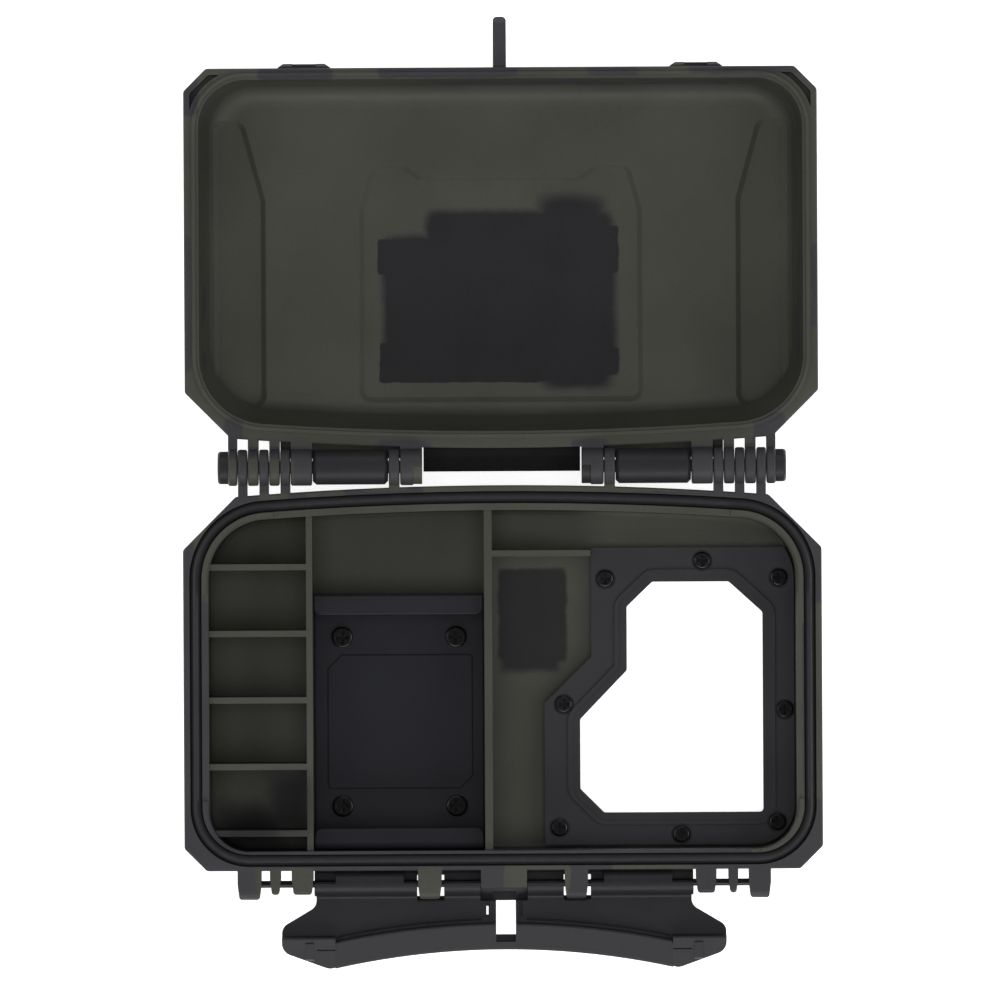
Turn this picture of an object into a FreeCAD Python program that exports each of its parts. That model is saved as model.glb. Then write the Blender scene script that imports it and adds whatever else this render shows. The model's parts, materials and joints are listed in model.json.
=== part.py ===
import FreeCAD, Part
import math
import os

# A rugged clamshell field-camera housing, opened flat: base tray towards -Y, lid towards +Y.
# All lengths are millimetres.  Both shells are drawn with y as the distance from the hinge axis,
# and the base side is mirrored into place at the end.

# ---- driving dimensions -------------------------------------------------------------------------
RIM_Z = 33.85                 # parting face of each shell
AXIS_Z = 34.0                 # hinge axis height, so the closed rims stay 0.3 apart
SKIN_Z = 1.5                  # outer face of the shells, above the outside pads
FLOOR_Z = 4.3                 # inner face of the floors
BOW_RADIUS = 1100.0           # the hinge side of every outline is a shallow arc

BASE_HALF_WIDTH = 101.4
BASE_HINGE_EDGE = 5.9
BASE_FAR_EDGE = 128.1
BASE_HINGE_CHAMFER = 16.9
LID_HALF_WIDTH = 100.6
LID_HINGE_EDGE = 5.9
LID_FAR_EDGE = 126.8
LID_HINGE_CHAMFER = 14.6
FAR_CHAMFER = 7.2
CORNER_ROUND = 1.6            # small radius on every outline corner
RIM_CHAMFER = 0.4             # broken edge round the outside of each rim

SEAL_HALF_WIDTH = 97.5        # centre line of the seal groove
SEAL_HINGE_EDGE = 9.7
SEAL_FAR_EDGE = 124.8
SEAL_HINGE_RADIUS = 23.1
SEAL_FAR_RADIUS = 16.8
GROOVE_HALF = 1.9
GROOVE_DEPTH = 4.6
SEAL_CORD_RADIUS = 1.75
CAVITY_INSET = 4.1            # seal centre line to base cavity wall
CAVITY_FAR_GAIN = 1.2         # the wall beside the latch is thinner by this much
LIP_OUTER_INSET = 2.0         # locating lips that stand on the base's inner lip
LIP_INNER_INSET = 3.6
LIP_HEIGHT = 1.2
LID_CAVITY_INSET = 1.6
TONGUE_HALF = 0.6
TONGUE_HEIGHT = 1.0

DIVIDER_TOP = 31.6
POCKET_WALL_X = -61.4
POCKET_WALL_THICK = 2.0
MIDDLE_WALL_X = -4.6
MIDDLE_WALL_THICK = 2.5
RIB_THICK = 2.0
FIRST_RIB_Y = 31.6
RIB_PITCH = 21.15
RIB_COUNT = 5
SHELF_Y = 27.6
SHELF_END_X = 28.0

KNUCKLE_RADIUS = 5.8
KNUCKLE_ROUND = 0.7           # rounded ends of every hinge barrel
HINGE_PIN_RADIUS = 2.0
RUNNING_GAP = 0.06
SLEEVE_RADIUS = 5.5
SLEEVE_CHAMFER = 1.1
SLEEVE_SPAN = (36.1, 60.0)
LID_KNUCKLES = ((25.3, 32.3), (60.2, 67.0), (70.5, 73.8), (77.2, 80.6), (84.0, 86.9))
BASE_KNUCKLES = ((32.5, 35.9), (67.2, 70.3), (74.0, 77.0), (80.8, 83.8))
END_CAP_SPAN = (86.9, 90.2)
END_CAP_RADIUS = 5.2
PLUG_SPAN = (25.3, 28.2)      # half-round plug that closes the pin bore
PLUG_RADIUS = 5.45
HINGE_PIN_SPAN = (28.4, 88.8)
HINGE_WEB = (31.0, 70.4)      # lid ledge under the sleeve, along x
GUARD_HALF = 24.9

LATCH_PIN_Y = 132.4
LATCH_PIN_Z = 30.0
LATCH_PIN_RADIUS = 1.15
LATCH_PIN_HALF = 84.0
BARREL_RADIUS = 3.9
BARREL_HALF = 60.2
LATCH_UNDER_Z = 26.1          # underside of the whole handle
LATCH_PANEL_Z = 30.4          # finger panels between the barrel and the grip
PANEL_FILLET = 1.3
TALL_EARS = ((-84.6, -77.0), (-27.3, -19.8), (19.3, 26.7), (77.8, 84.8))
SHORT_EARS = ((-74.3, -70.8), (-67.4, -60.5), (61.0, 67.5), (71.3, 74.4))
TALL_EAR_REACH = 137.3
TALL_EAR_UNDER_Z = 25.5
TALL_EAR_ROUNDS = (3.4, 2.4)  # under and over the nose
SHORT_EAR_REACH = 135.7
SHORT_EAR_UNDER_Z = 26.7
SHORT_EAR_ROUNDS = (2.6, 1.2)
EAR_TAPER = 0.6               # how much each side of an ear narrows towards its nose
EAR_TAPER_RUN = 5.0
EAR_SLOT = (19.0, 27.6)       # room in the handle for the two inner ears
EAR_SLOT_RADIUS = 5.6
TAB_HALF = 7.3
TAB_REACH = 133.7
TAB_UNDER_Z = 31.9
TAB_GAP = 0.2
LEDGE_REACH = 129.8           # shelf of the tray under the latch barrel
LEDGE_TOP_Z = 25.4
SLOT_SPAN_X = (-2.55, 3.7)
SLOT_START = 137.9
SLOT_END = 148.7
SLOT_LEDGE_END = 151.0
BARREL_POCKETS = ((7.5, 19.0), (27.6, 31.8), (53.4, 60.2))
GRIP_CENTRE_Y = 403.4         # the ridge, the groove and the grip edge are arcs about this point
RIDGE_RADIUS = 257.8
GRIP_EDGE_RADIUS = 249.85
GROOVE_RADII = (259.4, 260.0)
GROOVE_SPAN_X = (7.1, 53.0)
RIDGE_Z = 33.6
GRIP_EDGE_Z = 28.2
GRIP_HALF_ANGLE = 12.4
WING_START_X = 53.6
HOOK_FOOT_Y = 148.8
HOOK_CREST_Y = 149.3
HOOK_CREST_Z = 35.2
LATCH_REACH = 159.4

CATCH_SPAN_X = (54.0, 70.6)   # bars of the lid that the latch hooks pull on
CATCH_SPAN_Z = (22.4, 28.4)
CATCH_REACH = 128.4
CATCH_TAPER = 2.0

HASP_REACH = 143.0
HASP_CENTRE_X = -0.1
HASP_HALF = 2.1
HASP_TOP_Z = 31.3
HASP_SWING_RADIUS = 15.8      # the latch slot swings over the hasp, so its low edge is an arc
HASP_HOLE_RADIUS = 2.25
HASP_HOLE_Y = 137.0
HASP_HOLE_Z = 27.3

WINDOW_OPENING = (
    (47.8, 37.0), (72.2, 37.0), (83.0, 46.8), (83.0, 110.6), (32.2, 110.6),
    (24.6, 103.0), (24.6, 80.8), (39.6, 65.2), (39.6, 44.9),
)
WINDOW_SCREWS = (
    (32.8, 35.9), (63.8, 30.2), (88.3, 35.7), (19.4, 75.9),
    (90.1, 77.9), (17.8, 115.4), (56.8, 117.6), (87.5, 113.8),
)
WINDOW_LAP = 3.4              # pane and gasket past the opening
WINDOW_BEZEL = 6.5            # outside bezel past the opening
GASKET_THICK = 0.8
PANE_THICK = 2.2
FRAME_THICK = 2.4
BOSS_RADIUS = 3.2
WINDOW_INSERT_RADIUS = 2.1
WINDOW_INSERT_HEIGHT = 3.4
WINDOW_HEAD_RADIUS = 2.75
WINDOW_HEAD_SINK = 0.8
FRAME_GAP = 0.3               # frame edge to cavity wall

LID_PANEL_DEPTH = 1.6         # recesses in the lid floor, raised as pads on its outside
LID_DRAFT_SIDE = 3.4
LID_DRAFT_FAR = 1.6
LID_DRAFT_HINGE = 6.2
LID_FLOOR_ROUND = 7.0
LID_STRAIGHT = 3.0            # undrafted height below the rim

HOLDER_CENTRE = (-33.1, 81.2)
HOLDER_SPACING = (36.4, 54.0)
HOLDER_SPAN_X = (-59.9, -6.4)
HOLDER_SPAN_Y = (40.3, 121.5)
HOLDER_FOOT_Z = 6.5
HOLDER_TOP_Z = 26.6
HOLDER_THICK = 1.6
HOLDER_LIP = 6.6
HOLDER_BOSS_RADIUS = 4.2
HOLDER_INSERT_RADIUS = 2.4
HOLDER_INSERT_HEIGHT = 3.2
HOLDER_HEAD_RADIUS = 3.4
HEAD_HEIGHT = 1.3
INSERT_RELIEF = 0.8           # window insert holes go this much deeper, holder ones half of it

HINGE_Y = (LATCH_REACH - HASP_REACH) / 2    # puts the origin under the middle of the whole
OUT = "parts"


# ---- outline and solid helpers ------------------------------------------------------------------
def point(x, y, z=0.0):
    return FreeCAD.Vector(x, y, z)


def bow_drop(x, radius=BOW_RADIUS):
    """How far the bowed hinge side has fallen back at a distance x from the middle."""
    return radius - math.sqrt(radius ** 2 - x ** 2)


def corner_arc(before, corner, after, radius):
    """Start, middle and end of the arc that rounds one corner."""
    to_before = (before - corner).normalize()
    to_after = (after - corner).normalize()
    half_angle = to_before.getAngle(to_after) / 2
    run = radius / math.tan(half_angle)
    bisector = (to_before + to_after).normalize()
    centre = corner + bisector * (radius / math.sin(half_angle))
    return corner + to_before * run, centre - bisector * radius, corner + to_after * run


def rounded_wire(points, radii, bow=None):
    """Closed wire through points, each corner rounded.  bow is the middle of the first side if
    that side is an arc."""
    count = len(points)
    arcs = [
        corner_arc(points[i - 1], points[i], points[(i + 1) % count], radii[i])
        for i in range(count)
    ]
    edges = []
    for i in range(count):
        start = arcs[i][2]
        end = arcs[(i + 1) % count][0]
        if bow is not None and i == 0:
            edges.append(Part.Arc(start, bow, end).toShape())
        else:
            edges.append(Part.makeLine(start, end))
        edges.append(Part.Arc(*arcs[(i + 1) % count]).toShape())
    return Part.Wire(edges)


def polygon_wire(pairs, z, radius=0.0):
    corners = [point(x, y, z) for x, y in pairs]
    if radius:
        return rounded_wire(corners, [radius] * len(corners))
    return Part.makePolygon(corners + corners[:1])


def prism(wire, height):
    return Part.Face(wire).extrude(point(0, 0, height))


def box(x0, x1, y0, y1, z0, z1):
    return Part.makeBox(x1 - x0, y1 - y0, z1 - z0, point(x0, y0, z0))


def rod_x(x0, x1, radius, y, z):
    """Cylinder along X."""
    return Part.makeCylinder(radius, x1 - x0, point(x0, y, z), point(1, 0, 0))


def rod_z(x, y, radius, z0, z1):
    return Part.makeCylinder(radius, z1 - z0, point(x, y, z0))


def side_profile(pairs, radii, x0, x1):
    """Extrude a rounded (y, z) outline along X."""
    corners = [point(x0, y, z) for y, z in pairs]
    return Part.Face(rounded_wire(corners, radii)).extrude(point(x1 - x0, 0, 0))


def both_sides(shape):
    """The shape and its mirror image across the middle plane."""
    return [shape, shape.mirror(point(0, 0, 0), point(1, 0, 0))]


def fuse(first, others):
    return first.multiFuse(others).removeSplitter()


def shell_wire(half_width, hinge_edge, far_edge, hinge_chamfer, z, inset=0.0, hinge_inset=None):
    """Outer outline of a shell: bowed hinge side and four chamfered corners."""
    if hinge_inset is None:
        hinge_inset = inset
    chamfer_loss = inset * (2 - math.sqrt(2))
    near = hinge_chamfer - chamfer_loss
    far = FAR_CHAMFER - chamfer_loss
    x = half_width - inset
    y_near = hinge_edge + hinge_inset + bow_drop(x - near)
    y_far = far_edge - inset
    corners = [
        point(-(x - near), y_near, z), point(x - near, y_near, z), point(x, y_near + near, z),
        point(x, y_far - far, z), point(x - far, y_far, z), point(-(x - far), y_far, z),
        point(-x, y_far - far, z), point(-x, y_near + near, z),
    ]
    return rounded_wire(corners, [CORNER_ROUND] * 8, bow=point(0, hinge_edge + hinge_inset, z))


def seal_wire(inset, z, side_extra=0.0, hinge_extra=0.0, far_extra=0.0):
    """Offset copy of the seal's centre line: bowed hinge side and four large round corners.
    The extras narrow one side more than the others."""
    bow_radius = BOW_RADIUS - inset
    x = SEAL_HALF_WIDTH - inset - side_extra
    near = SEAL_HINGE_EDGE + inset + hinge_extra
    far = SEAL_FAR_EDGE - inset - far_extra
    near_r = SEAL_HINGE_RADIUS - inset
    far_r = SEAL_FAR_RADIUS - inset
    bow_centre_y = near + bow_radius
    arc_y = bow_centre_y - math.sqrt((bow_radius - near_r) ** 2 - (x - near_r) ** 2)
    tangent = point(x - near_r, arc_y - bow_centre_y).normalize() * bow_radius
    touch_x = tangent.x
    touch_y = bow_centre_y + tangent.y
    diagonal = math.sqrt(0.5)
    near_mid = point(x - near_r, arc_y) + (point(1, -1) * diagonal * near_r)

    def place(px, py):
        return point(px, py, z)

    edges = [
        Part.Arc(place(-touch_x, touch_y), place(0, near), place(touch_x, touch_y)).toShape(),
        Part.Arc(place(touch_x, touch_y), place(near_mid.x, near_mid.y), place(x, arc_y)).toShape(),
        Part.makeLine(place(x, arc_y), place(x, far - far_r)),
        Part.Arc(place(x, far - far_r),
                 place(x - far_r * (1 - diagonal), far - far_r * (1 - diagonal)),
                 place(x - far_r, far)).toShape(),
        Part.makeLine(place(x - far_r, far), place(-(x - far_r), far)),
        Part.Arc(place(-(x - far_r), far),
                 place(-(x - far_r * (1 - diagonal)), far - far_r * (1 - diagonal)),
                 place(-x, far - far_r)).toShape(),
        Part.makeLine(place(-x, far - far_r), place(-x, arc_y)),
        Part.Arc(place(-x, arc_y), place(-near_mid.x, near_mid.y), place(-touch_x, touch_y)).toShape(),
    ]
    return Part.Wire(edges)


def seal_band(outer_inset, inner_inset, z0, z1):
    """Ring between two offsets of the seal line."""
    outer = prism(seal_wire(outer_inset, z0), z1 - z0)
    inner = prism(seal_wire(inner_inset, z0), z1 - z0)
    return outer.cut(inner)


def offset_face(pairs, distance, z, radius):
    wire = polygon_wire(pairs, z, radius)
    return Part.Face(wire.makeOffset2D(distance, 0, False, False, False))


# ---- shells -------------------------------------------------------------------------------------
def cavity_wire(inset, z):
    return seal_wire(inset, z, far_extra=-CAVITY_FAR_GAIN)


def base_body():
    sections = ((SKIN_Z, 8.0), (4.0, 6.0), (21.5, 5.0), (25.5, 0.5), (26.0, 0.0),
                (RIM_Z - RIM_CHAMFER, 0.0), (RIM_Z, RIM_CHAMFER))
    wires = [
        shell_wire(BASE_HALF_WIDTH, BASE_HINGE_EDGE, BASE_FAR_EDGE, BASE_HINGE_CHAMFER, z, inset)
        for z, inset in sections
    ]
    outside = Part.makeLoft(wires, True, True)
    cavity_sections = ((FLOOR_Z, 5.6), (5.2, 4.5), (6.4, CAVITY_INSET), (RIM_Z, CAVITY_INSET))
    cavity = Part.makeLoft([cavity_wire(inset, z) for z, inset in cavity_sections], True, True)
    groove = seal_band(-GROOVE_HALF, GROOVE_HALF, RIM_Z - GROOVE_DEPTH, RIM_Z)
    return outside.cut(cavity).cut(groove)


def locating_lips():
    """Raised arcs on the inner lip at the four corners."""
    band = seal_band(LIP_OUTER_INSET, LIP_INNER_INSET, RIM_Z - 1.0, RIM_Z + LIP_HEIGHT)
    near = box(72.6, 110.0, 0.0, 40.4, 0.0, 50.0)
    far = box(81.8, 110.0, 105.8, 140.0, 0.0, 50.0)
    corners = both_sides(near) + both_sides(far)
    cavity = prism(cavity_wire(CAVITY_INSET, RIM_Z - 1.0), LIP_HEIGHT + 2.0)
    return [band.common(corner).cut(cavity) for corner in corners]


def dividers():
    top = DIVIDER_TOP - FLOOR_Z + 0.5
    start_z = FLOOR_Z - 0.5

    def wall(x, y, width, length):
        return Part.makeBox(width, length, top, point(x, y, start_z))

    pocket_wall = wall(POCKET_WALL_X - POCKET_WALL_THICK / 2, 13.0, POCKET_WALL_THICK, 109.9)
    middle_wall = wall(MIDDLE_WALL_X - MIDDLE_WALL_THICK / 2, 12.5, MIDDLE_WALL_THICK, 110.4)
    ribs = [
        wall(-95.0, FIRST_RIB_Y + i * RIB_PITCH - RIB_THICK / 2, 33.0, RIB_THICK)
        for i in range(RIB_COUNT)
    ]
    shelf = wall(MIDDLE_WALL_X, SHELF_Y - RIB_THICK / 2, SHELF_END_X - MIDDLE_WALL_X, RIB_THICK)
    room = prism(cavity_wire(CAVITY_INSET - 0.6, start_z), top)
    return [solid.common(room) for solid in [pocket_wall, middle_wall, shelf] + ribs]


def holder_points():
    half_x = HOLDER_SPACING[0] / 2
    half_y = HOLDER_SPACING[1] / 2
    return [
        (HOLDER_CENTRE[0] + sx * half_x, HOLDER_CENTRE[1] + sy * half_y)
        for sx in (-1, 1) for sy in (-1, 1)
    ]


def frame_under_z():
    return FLOOR_Z + GASKET_THICK + PANE_THICK


def floor_bosses():
    window = [rod_z(x, y, BOSS_RADIUS, FLOOR_Z - 0.5, frame_under_z()) for x, y in WINDOW_SCREWS]
    holder = [
        rod_z(x, y, HOLDER_BOSS_RADIUS, FLOOR_Z - 0.5, HOLDER_FOOT_Z) for x, y in holder_points()
    ]
    return window + holder


def insert_holes():
    window_z = frame_under_z()
    window_depth = WINDOW_INSERT_HEIGHT + INSERT_RELIEF
    holder_depth = HOLDER_INSERT_HEIGHT + INSERT_RELIEF / 2
    window = [
        rod_z(x, y, WINDOW_INSERT_RADIUS, window_z - window_depth, window_z)
        for x, y in WINDOW_SCREWS
    ]
    holder = [
        rod_z(x, y, HOLDER_INSERT_RADIUS, HOLDER_FOOT_Z - holder_depth, HOLDER_FOOT_Z)
        for x, y in holder_points()
    ]
    return window + holder


def base_outside_pads():
    """Feet of the tray: a bezel round the window and a long pad under the holder."""
    bezel = offset_face(WINDOW_OPENING, WINDOW_BEZEL, 0.0, 2.0).extrude(point(0, 0, SKIN_Z + 0.5))
    pad_outline = (
        (-86, 34), (-78, 26), (-20, 26), (-12, 34), (-12, 100), (-20, 108), (-78, 108), (-86, 100),
    )
    pad = prism(polygon_wire(pad_outline, 0.0, 1.5), SKIN_Z + 0.5)
    return [bezel, pad]


def end_rims(rod):
    """The two round edges of a rod that lies along X."""
    return [edge for edge in rod.Edges
            if edge.BoundBox.XLength < 0.01 and edge.BoundBox.YLength > 1.0]


def knuckle(x0, x1, shell_edge):
    """Hinge barrel with the arm that ties it to the shell."""
    rod = rod_x(x0, x1, KNUCKLE_RADIUS, 0.0, AXIS_Z)
    barrel = rod.makeFillet(KNUCKLE_ROUND, end_rims(rod))
    reach = shell_edge + bow_drop(x1) + 1.4
    arm = box(x0, x1, 0.0, reach, AXIS_Z - KNUCKLE_RADIUS, RIM_Z)
    return barrel.fuse(arm)


def knuckles(spans, shell_edge):
    solids = []
    for x0, x1 in spans:
        solids += both_sides(knuckle(x0, x1, shell_edge))
    return solids


def pin_bores(radius, x0, x1):
    return both_sides(rod_x(x0, x1, radius, 0.0, AXIS_Z))


def latch_ear(x0, x1, reach, under_z, tip_rounds):
    """Flat-topped ear that carries the latch pin, with a round nose that narrows in plan."""
    root = BASE_FAR_EDGE - 0.8
    side = side_profile(((root, under_z), (reach, under_z), (reach, RIM_Z), (root, RIM_Z)),
                        [0.1, *tip_rounds, 0.1], x0, x1)
    straight = reach - EAR_TAPER_RUN
    plan = ((x0, root), (x1, root), (x1, straight), (x1 - EAR_TAPER, reach), (x0 + EAR_TAPER, reach),
            (x0, straight))
    corners = [point(x, y, under_z - 1.0) for x, y in plan]
    return side.common(prism(rounded_wire(corners, [0.1, 0.1, 1.0, 1.0, 1.0, 1.0]), 20.0))


def latch_ears():
    tall = [
        latch_ear(x0, x1, TALL_EAR_REACH, TALL_EAR_UNDER_Z, TALL_EAR_ROUNDS) for x0, x1 in TALL_EARS
    ]
    short = [
        latch_ear(x0, x1, SHORT_EAR_REACH, SHORT_EAR_UNDER_Z, SHORT_EAR_ROUNDS)
        for x0, x1 in SHORT_EARS
    ]
    return tall + short


def latch_tab():
    """Flat tongue over the middle of the latch barrel."""
    return box(-TAB_HALF, TAB_HALF, BASE_FAR_EDGE - 0.8, TAB_REACH, TAB_UNDER_Z, RIM_Z)


def latch_ledge():
    """Shelf under the latch barrel that closes the gap between barrel and tray."""
    profile = ((123.0, 20.0), (126.0, 20.0), (LEDGE_REACH, 23.5), (LEDGE_REACH, LEDGE_TOP_Z),
               (123.0, LEDGE_TOP_Z))
    return side_profile(profile, [0.3] * 5, -BARREL_HALF, BARREL_HALF)


def base_shell():
    solids = locating_lips() + dividers() + floor_bosses() + base_outside_pads()
    solids += knuckles(BASE_KNUCKLES, BASE_HINGE_EDGE) + latch_ears() + [latch_tab(), latch_ledge()]
    shape = fuse(base_body(), solids)
    sight = offset_face(WINDOW_OPENING, 0.6, -1.0, 2.0).extrude(point(0, 0, FLOOR_Z + 2.0))
    cuts = [sight] + insert_holes() + pin_bores(HINGE_PIN_RADIUS + RUNNING_GAP, 20.0, 90.0)
    cuts.append(rod_x(-LATCH_PIN_HALF, LATCH_PIN_HALF, LATCH_PIN_RADIUS, LATCH_PIN_Y, LATCH_PIN_Z))
    return shape.cut(cuts)


def lid_cavity():
    """Straight below the rim, then drafted walls, flattest at the hinge side, that turn into the
    floor on a large round corner."""
    rows = ((RIM_Z, 0.0), (RIM_Z - LID_STRAIGHT, 0.0), (FLOOR_Z, 1.0))
    wires = [
        seal_wire(LID_CAVITY_INSET, z, side_extra=share * LID_DRAFT_SIDE,
                  hinge_extra=share * LID_DRAFT_HINGE, far_extra=share * LID_DRAFT_FAR)
        for z, share in rows
    ]
    cavity = Part.makeLoft(wires, True, True)
    foot = [edge for edge in cavity.Edges if edge.BoundBox.ZMax < FLOOR_Z + 0.05]
    return cavity.makeFillet(LID_FLOOR_ROUND, foot)


def lid_centre_panel():
    right = ((43.8, 22.4), (43.6, 82.4), (40.0, 95.2), (31.3, 95.2), (26.0, 91.3))
    left = tuple((-x, y) for x, y in reversed(right))
    return right + left


def lid_side_panel():
    return ((90.4, 109.4), (83.3, 109.4), (76.7, 85.2), (76.7, 20.9), (84.9, 20.9), (90.4, 26.5))


def sloped_block(pairs, z0, z1, grow0, grow1):
    """Block between two offsets of one outline, so its sides slope."""
    low = offset_face(pairs, grow0, z0, 2.4).OuterWire
    high = offset_face(pairs, grow1, z1, 2.4).OuterWire
    return Part.makeLoft([low, high], True, True)


def lid_panels(z0, z1, grow0, grow1):
    centre = sloped_block(lid_centre_panel(), z0, z1, grow0, grow1)
    side = sloped_block(lid_side_panel(), z0, z1, grow0, grow1)
    return [centre] + both_sides(side)


def lid_panel_recesses():
    """The panels sink into the floor and cut straight up through its round corner."""
    depth = LID_PANEL_DEPTH
    top = FLOOR_Z + 0.05

    def upright(pairs):
        return offset_face(pairs, depth, top - 0.1, 2.4).extrude(point(0, 0, LID_FLOOR_ROUND))

    sunk = lid_panels(FLOOR_Z - depth, top, 0.0, depth)
    return sunk + [upright(lid_centre_panel())] + both_sides(upright(lid_side_panel()))


def lid_corner_pockets():
    """Open cells between the chamfered flange and the tongue at the two far corners."""
    z0 = RIM_Z - 5.0
    wall = 2.0
    outline = shell_wire(LID_HALF_WIDTH, LID_HINGE_EDGE, LID_FAR_EDGE, LID_HINGE_CHAMFER, z0, wall)
    flange = prism(outline, 6.0)
    inner = prism(seal_wire(-wall, z0), 6.0)
    corner = box(86.0, 110.0, 112.0, 140.0, 0.0, 50.0)
    return [flange.cut(inner).common(piece) for piece in both_sides(corner)]


def lid_catches():
    """Bars on the latch side that the latch hooks pull on."""
    x0, x1 = CATCH_SPAN_X
    z0, z1 = CATCH_SPAN_Z
    root = 120.0
    shoulder = CATCH_REACH - 0.9
    profile = ((root, z0), (shoulder, z0), (CATCH_REACH, z0 + 0.9), (CATCH_REACH, z1 - 1.0),
               (shoulder, z1), (root, z1))
    bar = side_profile(profile, [0.2] * 6, x0, x1)
    plan = ((x0, root - 1.0), (x1, root - 1.0), (x1, CATCH_REACH - 1.2),
            (x1 - CATCH_TAPER, CATCH_REACH + 0.2), (x0 + CATCH_TAPER, CATCH_REACH + 0.2),
            (x0, CATCH_REACH - 1.2))
    relief = box(x0 + 4.5, x1 - 4.6, CATCH_REACH - 1.0, CATCH_REACH + 1.6, z0 + 1.8, z1 + 1.6)
    return both_sides(bar.common(prism(polygon_wire(plan, z0 - 2.4), 10.0)).cut(relief))


def hasp():
    """Edge-on plate that passes through the latch slot and takes a padlock or a tie."""
    swing_z = 2 * AXIS_Z - LATCH_PIN_Z
    tip_z = swing_z - math.sqrt(HASP_SWING_RADIUS ** 2 - (HASP_REACH - LATCH_PIN_Y) ** 2)
    mid_y = LATCH_PIN_Y + 5.5
    mid_z = swing_z - math.sqrt(HASP_SWING_RADIUS ** 2 - (mid_y - LATCH_PIN_Y) ** 2)
    low_z = swing_z - HASP_SWING_RADIUS
    root_y = 121.0
    nose = 2.0
    low_corner = point(0, LATCH_PIN_Y, low_z)
    straight = [point(0, HASP_REACH, tip_z), point(0, HASP_REACH, HASP_TOP_Z - nose),
                point(0, HASP_REACH - nose, HASP_TOP_Z), point(0, root_y, HASP_TOP_Z),
                point(0, root_y, low_z), low_corner]
    edges = [Part.makeLine(a, b) for a, b in zip(straight, straight[1:])]
    edges.append(Part.Arc(low_corner, point(0, mid_y, mid_z), straight[0]).toShape())
    plate = Part.Face(Part.Wire(edges)).extrude(point(2 * HASP_HALF, 0, 0))
    tip = [edge for edge in plate.Edges
           if edge.BoundBox.YMin > HASP_REACH - 0.1 and edge.BoundBox.XLength < 0.1]
    plate = plate.makeFillet(1.4, tip)
    plate.translate(point(HASP_CENTRE_X - HASP_HALF, 0, 0))
    return plate


def hinge_guard():
    """Strip clipped to the lid that closes the gap between the two hinge groups."""
    profile = ((8.0, 24.0), (8.0, 30.4), (5.4, 30.4), (3.2, 29.4), (-1.5, 29.4), (-1.5, 27.2),
               (2.0, 24.0))
    return side_profile(profile, [0.2, 0.2, 1.5, 1.5, 0.3, 1.0, 2.0], -GUARD_HALF, GUARD_HALF)


def hinge_webs():
    """Ledges of the lid below the sleeves."""
    x0, x1 = HINGE_WEB
    profile = ((9.5, 20.0), (9.5, 26.4), (2.8, 26.4), (2.8, 24.4), (6.0, 20.0))
    return both_sides(side_profile(profile, [0.2, 0.2, 0.5, 0.5, 0.5], x0, x1))


def lid_shell():
    sections = ((SKIN_Z, 5.0, 8.6), (4.5, 3.0, 6.4), (22.5, 2.2, 4.2), (25.5, 0.4, 0.6),
                (26.0, 0.0, 0.0), (RIM_Z - RIM_CHAMFER, 0.0, 0.0), (RIM_Z, RIM_CHAMFER, RIM_CHAMFER))
    wires = [
        shell_wire(LID_HALF_WIDTH, LID_HINGE_EDGE, LID_FAR_EDGE, LID_HINGE_CHAMFER, z, inset, hinge)
        for z, inset, hinge in sections
    ]
    outside = Part.makeLoft(wires, True, True)
    pads = lid_panels(0.0, SKIN_Z + 0.5, 2.8, 4.0)
    solids = pads + lid_catches() + [hasp()] + hinge_webs()
    solids.append(seal_band(-TONGUE_HALF, TONGUE_HALF, RIM_Z - 1.0, RIM_Z + TONGUE_HEIGHT))
    solids += knuckles(LID_KNUCKLES, LID_HINGE_EDGE)
    shape = fuse(outside, solids)
    cuts = [lid_cavity(), hinge_guard()] + lid_corner_pockets()
    cuts += lid_panel_recesses()
    cuts += pin_bores(HINGE_PIN_RADIUS, PLUG_SPAN[1], 90.0) + both_sides(plug_body())
    cuts.append(rod_x(-5.0, 5.0, HASP_HOLE_RADIUS, HASP_HOLE_Y, HASP_HOLE_Z))
    return shape.cut(cuts)


# ---- seal, window and holder --------------------------------------------------------------------
def seal_ring():
    z = RIM_Z - GROOVE_DEPTH + SEAL_CORD_RADIUS
    path = seal_wire(0.0, z)
    start = path.Edges[2].valueAt(path.Edges[2].FirstParameter)
    ordered = Part.Wire(path.Edges[2:] + path.Edges[:2])
    circle = Part.Wire(Part.makeCircle(SEAL_CORD_RADIUS, start, point(0, 1, 0)))
    return ordered.makePipeShell([circle], True, False)


def boss_clearance():
    """Room round the bosses, which notch the corners of the pane and the gasket."""
    return [rod_z(x, y, BOSS_RADIUS + 0.3, FLOOR_Z - 1.0, FLOOR_Z + 5.0) for x, y in WINDOW_SCREWS]


def window_gasket():
    outer = offset_face(WINDOW_OPENING, WINDOW_LAP, FLOOR_Z, 2.0)
    inner = offset_face(WINDOW_OPENING, 0.8, FLOOR_Z, 2.0)
    return outer.cut(inner).extrude(point(0, 0, GASKET_THICK)).cut(boss_clearance())


def window_pane():
    face = offset_face(WINDOW_OPENING, WINDOW_LAP, FLOOR_Z + GASKET_THICK, 2.0)
    return face.extrude(point(0, 0, PANE_THICK)).cut(boss_clearance())


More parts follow.
